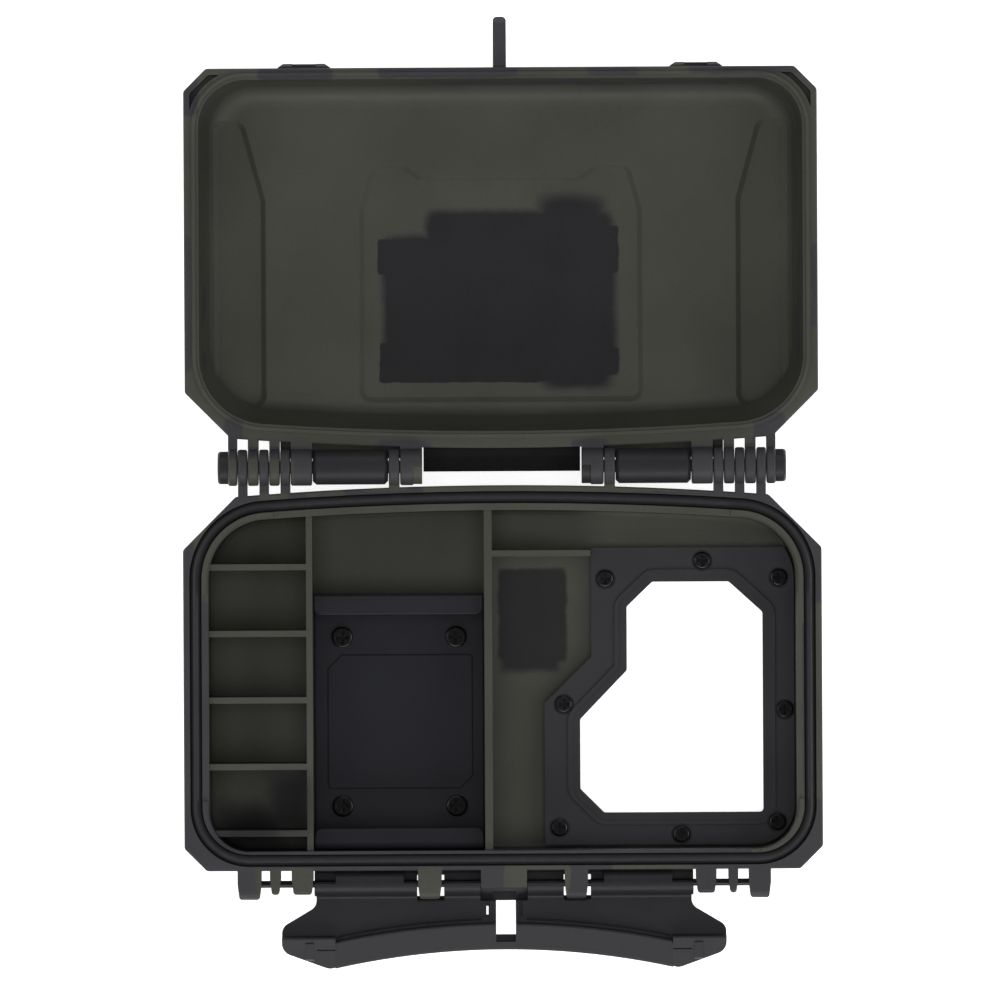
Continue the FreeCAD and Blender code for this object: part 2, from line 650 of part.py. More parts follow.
def window_frame_wire(z):
    """Outline of the frame: straight inside the compartment, following the cavity at the corners."""
    wall_x = SEAL_HALF_WIDTH - CAVITY_INSET - FRAME_GAP
    far_y = SEAL_FAR_EDGE - CAVITY_INSET + CAVITY_FAR_GAIN - 1.0
    near_y = 26.0
    near_radius = SEAL_HINGE_RADIUS - CAVITY_INSET - FRAME_GAP
    far_radius = SEAL_FAR_RADIUS - CAVITY_INSET - FRAME_GAP
    centre_y = 36.4
    top_x = wall_x - near_radius + math.sqrt(near_radius ** 2 - (centre_y - near_y) ** 2)
    mid_angle = math.asin((centre_y - near_y) / near_radius) / 2
    mid = point(wall_x - near_radius * (1 - math.cos(mid_angle)),
                centre_y - near_radius * math.sin(mid_angle), z)
    diagonal = math.sqrt(0.5)
    far_mid = point(wall_x - far_radius * (1 - diagonal), far_y - far_radius * (1 - diagonal), z)
    path = [(wall_x - far_radius, far_y), (13.2, far_y), (13.2, 75.6), (28.2, 60.8), (28.2, near_y),
            (top_x, near_y)]
    corners = [point(x, y, z) for x, y in path]
    edges = [Part.makeLine(a, b) for a, b in zip(corners, corners[1:])]
    edges.append(Part.Arc(corners[-1], mid, point(wall_x, centre_y, z)).toShape())
    edges.append(Part.makeLine(point(wall_x, centre_y, z), point(wall_x, far_y - far_radius, z)))
    edges.append(Part.Arc(point(wall_x, far_y - far_radius, z), far_mid, corners[0]).toShape())
    return Part.Wire(edges)


def window_frame():
    z0 = frame_under_z()
    z1 = z0 + FRAME_THICK
    plate = prism(window_frame_wire(z0), FRAME_THICK)
    outer_bead = offset_face(WINDOW_OPENING, 4.0, z1 - 0.2, 2.0)
    inner_bead = offset_face(WINDOW_OPENING, 2.6, z1 - 0.2, 2.0)
    bead = outer_bead.cut(inner_bead).extrude(point(0, 0, 0.9))
    opening = prism(polygon_wire(WINDOW_OPENING, z0 - 1.0, 1.2), FRAME_THICK + 2.0)
    cuts = [opening]
    for x, y in WINDOW_SCREWS:
        cuts.append(rod_z(x, y, 1.7, z0 - 1.0, z1 + 1.0))
        cuts.append(rod_z(x, y, WINDOW_HEAD_RADIUS + 0.55, z1 - WINDOW_HEAD_SINK, z1 + 1.0))
    return fuse(plate, [bead]).cut(cuts)


def cross_screw(x, y, seat_z, head_radius, head_height, shank_radius, shank_length):
    """Pan-head screw with a cross recess, head up."""
    head = rod_z(x, y, head_radius, seat_z, seat_z + head_height)
    rim = [edge for edge in head.Edges if edge.BoundBox.ZMin > seat_z + head_height / 2
           and edge.BoundBox.XLength > head_radius]
    head = head.makeFillet(head_height * 0.55, rim)
    shank = rod_z(x, y, shank_radius, seat_z - shank_length, seat_z + 0.2)
    top = seat_z + head_height
    long_half = head_radius * 0.6
    short_half = head_radius * 0.15
    depth = head_height * 0.75
    bar_x = box(x - long_half, x + long_half, y - short_half, y + short_half, top - depth, top + 1.0)
    bar_y = box(x - short_half, x + short_half, y - long_half, y + long_half, top - depth, top + 1.0)
    return head.fuse(shank).removeSplitter().cut([bar_x, bar_y])


def window_screws():
    seat_z = frame_under_z() + FRAME_THICK - WINDOW_HEAD_SINK
    return Part.makeCompound([
        cross_screw(x, y, seat_z, WINDOW_HEAD_RADIUS, HEAD_HEIGHT, 1.45, 5.2)
        for x, y in WINDOW_SCREWS])


def threaded_insert(x, y, top_z, outer_radius, bore_radius, height):
    outer = rod_z(x, y, outer_radius, top_z - height, top_z)
    return outer.cut(rod_z(x, y, bore_radius, top_z - height, top_z))


def window_inserts():
    return Part.makeCompound([
        threaded_insert(x, y, frame_under_z(), WINDOW_INSERT_RADIUS, 1.5, WINDOW_INSERT_HEIGHT)
        for x, y in WINDOW_SCREWS])


def holder_bracket():
    x0, x1 = HOLDER_SPAN_X
    y0, y1 = HOLDER_SPAN_Y
    z0 = HOLDER_FOOT_Z
    z1 = HOLDER_TOP_Z
    t = HOLDER_THICK
    lip = HOLDER_LIP
    profile = (
        (y0, z0), (y1, z0), (y1, z1), (y1 - lip, z1), (y1 - lip, z1 - t), (y1 - t, z1 - t),
        (y1 - t, z0 + t), (y0 + t, z0 + t), (y0 + t, z1 - t), (y0 + lip, z1 - t), (y0 + lip, z1),
        (y0, z1),
    )
    radii = [2.2, 2.2, 2.2, 0.4, 0.4, 0.6, 0.6, 0.6, 0.6, 0.4, 0.4, 2.2]
    channel = side_profile(profile, radii, x0, x1)
    panel_outline = (
        (-51.5, 59.8), (-9.7, 59.8), (-9.7, 98.6), (-13.6, 102.6), (-56.0, 102.6), (-56.0, 64.3),
    )
    panel = Part.makeLoft([offset_face(panel_outline, grow, z, 1.2).OuterWire
                           for z, grow in ((z0 + t - 0.2, 0.4), (z0 + t + 0.3, -0.3))], True, True)
    holes = [rod_z(x, y, 2.0, z0 - 1.0, z0 + t + 1.0) for x, y in holder_points()]
    corner_cuts = []
    for x, inward in ((x0, 1), (x1, -1)):
        for y, outward in ((y0 + lip, 1), (y1 - lip, -1)):
            size = 2.4
            block = box(min(x, x + inward * size), max(x, x + inward * size),
                        min(y, y - outward * size), max(y, y - outward * size), z1 - t - 0.5, z1 + 0.5)
            round_part = rod_z(x + inward * size, y - outward * size, size, z1 - t - 0.5, z1 + 0.5)
            corner_cuts.append(block.cut(round_part))
    return fuse(channel, [panel]).cut(holes + corner_cuts)


def holder_screws():
    seat_z = HOLDER_FOOT_Z + HOLDER_THICK
    return Part.makeCompound([
        cross_screw(x, y, seat_z, HOLDER_HEAD_RADIUS, HEAD_HEIGHT, 1.7, 4.8)
        for x, y in holder_points()])


def holder_inserts():
    return Part.makeCompound([
        threaded_insert(x, y, HOLDER_FOOT_Z, HOLDER_INSERT_RADIUS, 1.75, HOLDER_INSERT_HEIGHT)
        for x, y in holder_points()])


# ---- hinge and latch hardware -------------------------------------------------------------------
def hinge_pin():
    return rod_x(*HINGE_PIN_SPAN, HINGE_PIN_RADIUS, 0.0, AXIS_Z)


def hinge_sleeve():
    sleeve = rod_x(*SLEEVE_SPAN, SLEEVE_RADIUS, 0.0, AXIS_Z)
    bore = rod_x(*SLEEVE_SPAN, HINGE_PIN_RADIUS, 0.0, AXIS_Z)
    return sleeve.makeChamfer(SLEEVE_CHAMFER, end_rims(sleeve)).cut(bore)


def hinge_end_cap():
    x0, x1 = END_CAP_SPAN
    cap = rod_x(x0, x1, END_CAP_RADIUS, 0.0, AXIS_Z)
    rims = [edge for edge in cap.Edges if edge.BoundBox.XMin > x1 - 0.1]
    cap = cap.makeFillet(1.0, rims)
    return cap.cut(rod_x(x0, HINGE_PIN_SPAN[1], HINGE_PIN_RADIUS, 0.0, AXIS_Z))


def plug_body():
    """Half-round block let into the tray side of the innermost knuckle."""
    x0, x1 = PLUG_SPAN
    half = box(x0, x1, -KNUCKLE_RADIUS - 1.0, 0.3, AXIS_Z - 10.0, AXIS_Z + 10.0)
    return rod_x(x0, x1, KNUCKLE_RADIUS + 0.5, 0.0, AXIS_Z).common(half)


def hinge_plug():
    return plug_body().common(rod_x(*PLUG_SPAN, PLUG_RADIUS, 0.0, AXIS_Z))


def latch_outline():
    """Plan of the handle: straight barrel, flared wings and a hollow-curved grip edge."""
    right = ((56.0, LATCH_REACH), (70.6, 153.9), (70.6, 146.1), (59.6, 139.6), (59.6, 128.0))
    left = [(-x, y) for x, y in reversed(right)]
    corners = [point(x, y, LATCH_UNDER_Z) for x, y in [left[-1], *right, *left[:-1]]]
    radii = [5.0, 5.0, 4.0, 3.2, 3.5, 0.1, 0.1, 3.5, 3.2, 4.0]
    return rounded_wire(corners, radii, bow=point(0, GRIP_CENTRE_Y - GRIP_EDGE_RADIUS, LATCH_UNDER_Z))


def about_grip_centre(profile, half_angle):
    """Sweep a (radius, z) profile along the arcs of the grip."""
    pivot = point(0, GRIP_CENTRE_Y, 0)
    corners = [point(0, GRIP_CENTRE_Y - radius, z) for radius, z in profile]
    face = Part.Face(Part.makePolygon(corners + corners[:1]))
    face.rotate(pivot, point(0, 0, 1), -half_angle)
    return face.revolve(pivot, point(0, 0, 1), 2 * half_angle)


def latch_panel():
    """Flat part of the handle, joined to the barrel by a small fillet."""
    low = prism(latch_outline(), GRIP_EDGE_Z - LATCH_UNDER_Z - 0.3)
    full = prism(latch_outline(), LATCH_PANEL_Z - LATCH_UNDER_Z)
    grip = Part.makeCylinder(RIDGE_RADIUS, 20.0, point(0, GRIP_CENTRE_Y, LATCH_UNDER_Z))
    outside = box(-80.0, 80.0, 120.0, LATCH_PIN_Y, 20.0, 40.0)
    barrel = rod_x(-BARREL_HALF, BARREL_HALF, BARREL_RADIUS, LATCH_PIN_Y, LATCH_PIN_Z)
    plate = fuse(full.cut(grip), [low]).cut(outside)
    joined = fuse(plate, [barrel])

    def is_valley(edge):
        size = edge.BoundBox
        level = abs(size.ZMin - LATCH_PANEL_Z) < 0.02 and abs(size.ZMax - LATCH_PANEL_Z) < 0.02
        return level and size.YMax < LATCH_PIN_Y + BARREL_RADIUS + 0.1 and size.XLength > 50

    return joined.makeFillet(PANEL_FILLET, [edge for edge in joined.Edges if is_valley(edge)])


def latch_grip():
    """Ridge and the skirt that slopes down from it to the grip edge."""
    foot = RIDGE_RADIUS + 0.8
    profile = (
        (foot, LATCH_UNDER_Z), (foot, LATCH_PANEL_Z),
        (RIDGE_RADIUS + 0.5, RIDGE_Z - 0.3), (RIDGE_RADIUS, RIDGE_Z),
        (RIDGE_RADIUS - 0.7, RIDGE_Z - 0.25),
        (GRIP_EDGE_RADIUS + 0.6, GRIP_EDGE_Z + 0.3), (GRIP_EDGE_RADIUS, GRIP_EDGE_Z - 0.3),
        (GRIP_EDGE_RADIUS, LATCH_UNDER_Z),
    )
    return about_grip_centre(profile, GRIP_HALF_ANGLE)


def latch_wings():
    """Hooks at both ends of the handle, which slope down to the wing tips."""
    end = LATCH_REACH + 0.4
    crease_y = 153.3
    profile = (
        (HOOK_FOOT_Y, LATCH_UNDER_Z), (HOOK_FOOT_Y, LATCH_PANEL_Z), (HOOK_CREST_Y, HOOK_CREST_Z),
        (HOOK_CREST_Y + 0.6, HOOK_CREST_Z), (crease_y, 33.2), (end, GRIP_EDGE_Z - 0.5),
        (end, LATCH_UNDER_Z),
    )
    wing = side_profile(profile, [0.1, 0.1, 0.2, 0.2, 0.4, 0.1, 0.1], WING_START_X, 72.0)
    rib_profile = ((151.0, 31.0), (151.0, HOOK_CREST_Z), (156.3, 31.4), (156.9, 30.0))
    rib = side_profile(rib_profile, [0.1, 0.3, 0.3, 0.1], 60.4, 63.0)
    crease = box(WING_START_X, 59.6, crease_y - 0.2, crease_y + 0.2, 32.7, 40.0)
    wing = fuse(wing, [rib]).cut(crease)
    plan = prism(latch_outline(), 20.0)
    return [side.common(plan) for side in both_sides(wing)]


def slot_cuts(under, deep, top):
    """The slot for the hasp with its ledge, and the narrow marks on both sides of it."""
    x0, x1 = SLOT_SPAN_X
    mark_end = 142.7
    return [
        box(x0, x1, SLOT_START, SLOT_END, under, top),
        box(x0, x1, SLOT_START, SLOT_LEDGE_END, deep, top),
        box(x0 - 0.9, x1 + 0.2, 135.0, SLOT_START + 0.1, LATCH_UNDER_Z + 0.6, top),
        box(-5.65, -4.95, 139.6, 142.4, under, top),
        box(-5.9, -4.6, SLOT_START, mark_end, LATCH_PANEL_Z - 0.6, top),
        box(4.6, 5.9, SLOT_START, mark_end, LATCH_PANEL_Z - 0.8, top),
    ]


def latch_cuts():
    under = LATCH_UNDER_Z - 1.0
    top = HOOK_CREST_Z + 1.0
    deep = LATCH_PIN_Z - 1.7
    cuts = slot_cuts(under, deep, top)
    half = TAB_HALF + TAB_GAP
    behind = 127.0
    under_tab = ((behind, deep), (TAB_REACH + TAB_GAP, deep), (SLOT_START, deep - 1.6),
                 (SLOT_START, top), (behind, top))
    cuts.append(side_profile(under_tab, [0.1] * 5, -half, half))
    for x0, x1 in BARREL_POCKETS:
        cuts += both_sides(box(x0, x1, behind, LATCH_PIN_Y - 0.2, deep, top))
    cuts += both_sides(rod_x(*EAR_SLOT, EAR_SLOT_RADIUS, LATCH_PIN_Y, LATCH_PIN_Z))
    cuts.append(rod_x(-90.0, 90.0, LATCH_PIN_RADIUS + RUNNING_GAP, LATCH_PIN_Y, LATCH_PIN_Z))
    inner, outer = GROOVE_RADII
    disc = Part.makeCylinder(outer, 10.0, point(0, GRIP_CENTRE_Y, LATCH_PANEL_Z - 1.2))
    ring = disc.cut(Part.makeCylinder(inner, 10.0, point(0, GRIP_CENTRE_Y, LATCH_PANEL_Z - 1.2)))
    x0, x1 = GROOVE_SPAN_X
    cuts += [ring.common(side) for side in both_sides(box(x0, x1, 140.0, 155.0, 20.0, 45.0))]
    return cuts


def latch_handle():
    return fuse(latch_panel(), [latch_grip()] + latch_wings()).cut(latch_cuts())


def latch_pin():
    return rod_x(-LATCH_PIN_HALF, LATCH_PIN_HALF, LATCH_PIN_RADIUS, LATCH_PIN_Y, LATCH_PIN_Z)


# ---- placing and writing ------------------------------------------------------------------------
def to_base_side(shape):
    return shape.mirror(point(0, 0, 0), point(0, 1, 0))


def sided_parts(name, shape):
    right, left = both_sides(shape)
    return {name + "_left": left, name + "_right": right}


def all_parts():
    base_side = {
        "base_shell": base_shell(),
        "seal_ring": seal_ring(),
        "window_gasket": window_gasket(),
        "window_pane": window_pane(),
        "window_frame": window_frame(),
        "window_screws": window_screws(),
        "window_inserts": window_inserts(),
        "holder_bracket": holder_bracket(),
        "holder_screws": holder_screws(),
        "holder_inserts": holder_inserts(),
        "latch_handle": latch_handle(),
        "latch_pin": latch_pin(),
    }
    parts = {name: to_base_side(shape) for name, shape in base_side.items()}
    parts["lid_shell"] = lid_shell()
    parts["hinge_guard"] = hinge_guard()
    parts.update(sided_parts("hinge_pin", hinge_pin()))
    parts.update(sided_parts("hinge_sleeve", hinge_sleeve()))
    parts.update(sided_parts("hinge_end_cap", hinge_end_cap()))
    parts.update(sided_parts("hinge_plug", hinge_plug()))
    return parts


os.makedirs(OUT, exist_ok=True)
for name, shape in all_parts().items():
    shape.translate(point(0, HINGE_Y, 0))
    shape.exportStep(os.path.join(OUT, name + ".step"))
    size = shape.BoundBox
    print(name, shape.isValid(), len(shape.Solids), round(shape.Volume),
          [round(v, 1) for v in (size.XMin, size.XMax, size.YMin, size.YMax, size.ZMin, size.ZMax)])
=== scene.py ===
import json
import math
import bpy
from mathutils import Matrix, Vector


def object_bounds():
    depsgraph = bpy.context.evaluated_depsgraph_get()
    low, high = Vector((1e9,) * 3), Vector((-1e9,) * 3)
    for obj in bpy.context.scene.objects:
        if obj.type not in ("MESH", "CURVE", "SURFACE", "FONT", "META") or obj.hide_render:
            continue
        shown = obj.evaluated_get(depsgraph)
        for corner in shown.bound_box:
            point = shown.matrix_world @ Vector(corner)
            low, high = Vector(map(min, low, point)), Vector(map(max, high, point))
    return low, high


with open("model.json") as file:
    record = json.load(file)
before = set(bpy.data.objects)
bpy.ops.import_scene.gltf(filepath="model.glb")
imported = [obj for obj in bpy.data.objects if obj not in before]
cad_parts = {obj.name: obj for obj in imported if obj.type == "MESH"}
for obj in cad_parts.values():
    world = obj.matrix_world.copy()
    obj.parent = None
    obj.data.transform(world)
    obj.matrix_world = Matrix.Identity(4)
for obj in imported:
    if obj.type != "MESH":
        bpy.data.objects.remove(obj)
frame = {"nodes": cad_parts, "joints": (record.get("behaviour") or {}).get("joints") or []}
CAD_LOW, CAD_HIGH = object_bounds()

# ---- places taken from the frame, in metres -----------------------------------------------------
MM = 0.001
JOINTS = {joint["name"]: joint for joint in frame["joints"]}
HINGE_Y = JOINTS["lid_hinge"]["pos_m"][1]
RIM_Z = 33.85 * MM

# Inside wall of both shells: half width, distance of its two ends from the hinge, corner radii.
CAVITY_HALF_X = 93.4 * MM
CAVITY_NEAR = 13.8 * MM
CAVITY_FAR = 121.3 * MM
CAVITY_NEAR_CORNER = 19.0 * MM
CAVITY_FAR_CORNER = 13.0 * MM
LIP_WIDTH = 3.2 * MM             # from the inside wall to the seal
OUTSIDE_TOP_Z = 2.1 * MM         # the outside pads end below this
FLOOR_LOW_Z = 2.5 * MM           # the lowest inside face is above this
CAMOUFLAGE_FADE_Z = (24 * MM, 26 * MM)   # the invented camouflage ends between these heights

# The camera looks straight down from far away, as in the photograph.
CAMERA_DISTANCE = 4.0
FRAME_WIDTH = 0.31746            # what the picture's width covers at the rim plane
FRAME_SHIFT_X = -0.00063
FRAME_CENTRE_FROM_HINGE = -0.01063
CAMERA_ROLL = math.radians(-0.3)
SENSOR_WIDTH = 36.0

FLOOR_SIZE = 3.0
FLOOR_GAP = 0.0002               # keeps the floor's face off the undersides

# ---- colours and grain shared by several materials ----------------------------------------------
OLIVE = (0.0455, 0.0475, 0.0385)
OLIVE_LIGHT = (0.0550, 0.0570, 0.0465)
OLIVE_ROUGHNESS = (0.46, 0.54)
CHARCOAL = (0.034, 0.034, 0.038)
SPRAY = (0.0125, 0.0125, 0.0145)
SHELL_SPECULAR = 0.3
CHARCOAL_SPECULAR = 0.35
SHELL_GRAIN_SIZE = 0.45 * MM
SHELL_GRAIN_DEPTH = 0.03 * MM
EDGE_RADIUS = 0.3 * MM
PAINT_RAGGEDNESS = 2.2 * MM      # how far a paint edge wanders


# ---- node helpers -------------------------------------------------------------------------------
class Nodes:
    """Thin wrapper that builds one material's node tree."""

    def __init__(self, name):
        self.material = bpy.data.materials.new(name)
        self.material.use_nodes = True
        self.tree = self.material.node_tree
        self.shader = self.tree.nodes["Principled BSDF"]
        self.coords = self.tree.nodes.new("ShaderNodeTexCoord").outputs["Object"]

    def put(self, value, socket):
        """Link an output to a socket, or set the socket's own value."""
        if isinstance(value, bpy.types.NodeSocket):
            self.tree.links.new(value, socket)
        elif isinstance(value, tuple) and len(value) == 3 and socket.type == "RGBA":
            socket.default_value = (*value, 1.0)
        else:
            socket.default_value = value

    def set(self, **values):
        """Set shader inputs, with _ in place of the space in their names."""
        for key, value in values.items():
            self.put(value, self.shader.inputs[key.replace("_", " ")])

    def math(self, operation, a, b=0.0, c=0.0):
        node = self.tree.nodes.new("ShaderNodeMath")
        node.operation = operation
        for socket, value in zip(node.inputs, (a, b, c)):
            self.put(value, socket)
        return node.outputs[0]

    def noise(self, size, detail=2.0, roughness=0.5, stretch=(1.0, 1.0, 1.0), offset=(0.0, 0.0, 0.0)):
        """Noise whose blobs are about `size` metres across."""
        mapping = self.tree.nodes.new("ShaderNodeMapping")
        self.put(self.coords, mapping.inputs["Vector"])
        mapping.inputs["Location"].default_value = offset
        mapping.inputs["Scale"].default_value = stretch
        node = self.tree.nodes.new("ShaderNodeTexNoise")
        self.put(mapping.outputs[0], node.inputs["Vector"])
        node.inputs["Scale"].default_value = 1.0 / size
        node.inputs["Detail"].default_value = detail
        node.inputs["Roughness"].default_value = roughness
        return node.outputs["Fac"]

    def fade(self, value, low, high, start=0.0, end=1.0):
        """Smooth step of value from low to high."""
        node = self.tree.nodes.new("ShaderNodeMapRange")
        node.interpolation_type = "SMOOTHSTEP"
        for key, number in (("From Min", low), ("From Max", high), ("To Min", start), ("To Max", end)):
            node.inputs[key].default_value = number
        self.put(value, node.inputs["Value"])
        return node.outputs[0]

    def scale(self, colour, factor):
        """Colour times a number."""
        node = self.tree.nodes.new("ShaderNodeVectorMath")
        node.operation = "SCALE"
        self.put(colour, node.inputs[0])
        self.put(factor, node.inputs["Scale"])
        return node.outputs[0]

    def vector(self, operation, a, b=(0.0, 0.0, 0.0)):
        node = self.tree.nodes.new("ShaderNodeVectorMath")
        node.operation = operation
        self.put(a, node.inputs[0])
        self.put(b, node.inputs[1])
        return node.outputs[0]

    def mix(self, factor, a, b):
        """Colour a, or b where factor is 1."""
        node = self.tree.nodes.new("ShaderNodeMix")
        node.data_type = "RGBA"
        self.put(factor, node.inputs["Factor"])
        self.put(a, node.inputs["A"])
        self.put(b, node.inputs["B"])
        return node.outputs["Result"]

    def axes(self):
        """The x, y and z of the point, in metres from the frame's origin."""
        node = self.tree.nodes.new("ShaderNodeSeparateXYZ")
        self.put(self.coords, node.inputs[0])
        return node.outputs

    def box_distance(self, centre_x, centre_y, half_x, half_y, corner):
        """Signed distance in metres to a rounded rectangle in plan, negative inside."""
        x, y, _ = self.axes()
        reach_x = self.math("SUBTRACT", half_x, corner)
        reach_y = self.math("SUBTRACT", half_y, corner)
        dx = self.math("SUBTRACT", self.math("ABSOLUTE", self.math("SUBTRACT", x, centre_x)), reach_x)
        dy = self.math("SUBTRACT", self.math("ABSOLUTE", self.math("SUBTRACT", y, centre_y)), reach_y)
        px = self.math("MAXIMUM", dx, 0.0)
        py = self.math("MAXIMUM", dy, 0.0)
        squares = self.math("ADD", self.math("MULTIPLY", px, px), self.math("MULTIPLY", py, py))
        outside = self.math("SQRT", squares)
        inside = self.math("MINIMUM", self.math("MAXIMUM", dx, dy), 0.0)
        return self.math("SUBTRACT", self.math("ADD", outside, inside), corner)

    def patches(self, side, spans, ragged):
        """Coverage of a list of paint patches. Side is 1 on the lid and -1 on the base."""
        cover = 0.0
        for x0, x1, v0, v1, softness in spans:
            half_x = (x1 - x0) / 2 * MM
            half_y = (v1 - v0) / 2 * MM
            centre = ((x0 + x1) / 2 * MM, HINGE_Y + side * (v0 + v1) / 2 * MM, 0.0)
            offset = self.vector("ABSOLUTE", self.vector("SUBTRACT", self.coords, centre))
            beyond = self.tree.nodes.new("ShaderNodeSeparateXYZ")
            self.put(self.vector("SUBTRACT", offset, (half_x, half_y, 0.0)), beyond.inputs[0])
            soft = softness * MM
            corner = min(half_x, half_y, 1.5 * MM + 3.0 * soft)
            distance = self.math("SMOOTH_MAX", beyond.outputs[0], beyond.outputs[1], corner)
            one = self.fade(self.math("ADD", distance, ragged), -soft, soft, 1.0, 0.0)
            cover = self.math("MAXIMUM", cover, one)
        return cover

    def surface(self, grain_size, grain_depth, edge=EDGE_RADIUS):
        """Fine moulded grain over edges that are slightly rounded."""
        bevel = self.tree.nodes.new("ShaderNodeBevel")
        bevel.samples = 4
        bevel.inputs["Radius"].default_value = edge
        bump = self.tree.nodes.new("ShaderNodeBump")
        bump.inputs["Strength"].default_value = 1.0
        bump.inputs["Distance"].default_value = grain_depth
        self.put(self.noise(grain_size, 3.0, 0.6), bump.inputs["Height"])
        self.put(bevel.outputs[0], bump.inputs["Normal"])
        self.put(bump.outputs[0], self.shader.inputs["Normal"])


# ---- materials ----------------------------------------------------------------------------------
# Paint patches, one row each: x from and to, distance from the hinge from and to, and the softness
# of the edge, all in mm. A negative distance reaches past the hinge.
# The dark patch in the middle of the lid's floor, built up from overlapping boxes:
LID_SPRAY = (
    (-37.8, 36.9, 30.0, 74.0, 1.8), (-39.5, -22.0, 61.7, 73.1, 0.15), (-24.0, 36.0, 64.0, 82.0, 1.6),
    (12.0, 33.5, 70.0, 86.6, 2.6), (18.6, 37.8, 61.7, 77.0, 0.2), (18.6, 37.8, 29.0, 38.5, 0.4),
    (-38.9, 15.0, 27.0, 40.0, 0.15), (12.5, 35.6, 25.0, 40.0, 1.8),
)
# Charcoal camouflage on the lid's flange and on its hinge and latch parts:
LID_CHARCOAL = (
    (-92.0, -60.0, 2.6, 6.6, 0.3), (-66.0, -60.4, -7.0, 4.0, 0.3), (58.0, 92.0, -7.0, 6.8, 0.3),
    (-33.5, -22.0, -7.0, 7.6, 0.3), (22.0, 34.0, -7.0, 8.6, 0.3), (-39.0, -24.0, 6.0, 8.6, 0.4),
    (-88.0, -82.0, 2.0, 16.0, 0.5), (80.0, 90.0, 2.0, 17.0, 0.5), (-77.0, -53.0, 123.0, 128.0, 0.4),
    (-38.6, 6.0, 123.4, 145.0, 0.4), (28.0, 44.0, 124.0, 129.0, 0.4), (-103.0, -98.4, 30.0, 74.0, 0.4),
    (98.6, 103.0, 44.0, 70.0, 0.4), (-103.0, -96.0, 112.0, 130.0, 0.5),
    (60.0, 103.0, 124.4, 130.0, 0.4),
)
# Hinge knuckles that the camouflage leaves olive:
LID_KNUCKLE_OLIVE = ((-92.0, -66.4, -4.6, 2.6, 0.25), (-28.3, -25.2, -6.0, 0.4, 0.1))
# The base's flange and latch side are charcoal apart from these patches:
BASE_OLIVE = (
    (-25.0, 62.0, 4.0, 8.4, 0.4), (-62.0, -50.0, 6.6, 9.4, 0.4), (-77.0, -68.0, 8.0, 10.4, 0.4),
    (-44.0, -30.0, 4.0, 7.6, 0.3), (97.8, 103.0, 44.0, 106.0, 0.4), (0.2, 21.0, 125.6, 134.5, 0.2),
    (-75.0, -60.0, 127.2, 137.0, 0.2), (-27.6, -19.4, 127.0, 139.0, 0.2),
    (18.6, 20.4, 127.0, 136.0, 0.2),
    (-78.6, -76.5, 127.0, 137.0, 0.5), (34.6, 60.0, 126.6, 129.0, 0.3), (-98.0, -90.0, 19.0, 26.0, 0.8),
    (70.6, 74.8, 134.6, 136.5, 0.4),
)
# Where the charcoal also covers the lip inside the seal:
BASE_LIP_CHARCOAL = (
    (-112.0, -82.0, 42.0, 140.0, 0.8), (-112.0, 79.0, 114.0, 140.0, 0.8),
    (95.0, 99.0, 50.0, 104.0, 0.6),
)
# Dark overspray on the base's floor:
BASE_SPRAY = (
    (-1.4, 20.5, 32.6, 62.6, 0.8), (-0.6, 18.0, 58.0, 65.6, 1.6), (-90.0, -70.0, 108.0, 121.5, 5.0),
    (-75.0, -62.0, 98.0, 116.0, 4.5),
)


def lighter(colour, factor):
    return tuple(channel * factor for channel in colour)


def shell_coat(name, side):
    """A shell's node tree, its distance outwards from the inside wall, and its paint's wandering."""
    n = Nodes(name)
    mid = HINGE_Y + side * (CAVITY_NEAR + CAVITY_FAR) / 2
    half_y = (CAVITY_FAR - CAVITY_NEAR) / 2
    from_mid = n.math("MULTIPLY", n.math("SUBTRACT", n.axes()[1], mid), side)
    corner = n.fade(from_mid, -1.0 * MM, 1.0 * MM, CAVITY_NEAR_CORNER, CAVITY_FAR_CORNER)
    from_wall = n.box_distance(0.0, mid, CAVITY_HALF_X, half_y, corner)
    wobble = n.math("SUBTRACT", n.noise(0.006, 4.0, 0.65), 0.5)
    ragged = n.math("MULTIPLY", wobble, PAINT_RAGGEDNESS)
    return n, from_wall, ragged


def shell_finish(n, dark, spray):
    """Mottled olive, with charcoal where dark is 1 and the darker overspray where spray is 1."""
    mottled = n.mix(n.fade(n.noise(0.05, 3.0, 0.5), 0.35, 0.65), OLIVE, OLIVE_LIGHT)
    speckle = n.fade(n.noise(0.0007, 2.0, 0.6), 0.2, 0.8, 0.93, 1.07)
    worn = n.fade(n.noise(0.02, 3.0), 0.3, 0.7)
    charcoal = n.mix(worn, CHARCOAL, lighter(CHARCOAL, 1.15))
    sprayed = n.mix(worn, SPRAY, lighter(SPRAY, 1.15))
    n.set(Base_Color=n.scale(n.mix(spray, n.mix(dark, mottled, charcoal), sprayed), speckle),
          Roughness=n.fade(n.noise(0.012, 4.0), 0.3, 0.7, *OLIVE_ROUGHNESS),
          Specular_IOR_Level=SHELL_SPECULAR)
    n.surface(SHELL_GRAIN_SIZE, SHELL_GRAIN_DEPTH)
    return n.material


def hidden_camouflage(n, offset):
    """Charcoal clouds on the walls below the rim, which the photograph doesn't show."""
    cloud = n.noise(0.03, 3.0, 0.55, stretch=(0.7, 1.4, 1.0), offset=offset)
    below = n.fade(n.axes()[2], *CAMOUFLAGE_FADE_Z, 1.0, 0.0)
    return n.math("MULTIPLY", n.fade(cloud, 0.50, 0.53), below)


def inside_spray(n, side, spans, ragged, strength):
    """Dark overspray on the inside of the floor, which doesn't reach the outside face below it."""
    inside = n.fade(n.axes()[2], OUTSIDE_TOP_Z, FLOOR_LOW_Z, 0.0, strength)
    return n.math("MULTIPLY", n.patches(side, spans, ragged), inside)


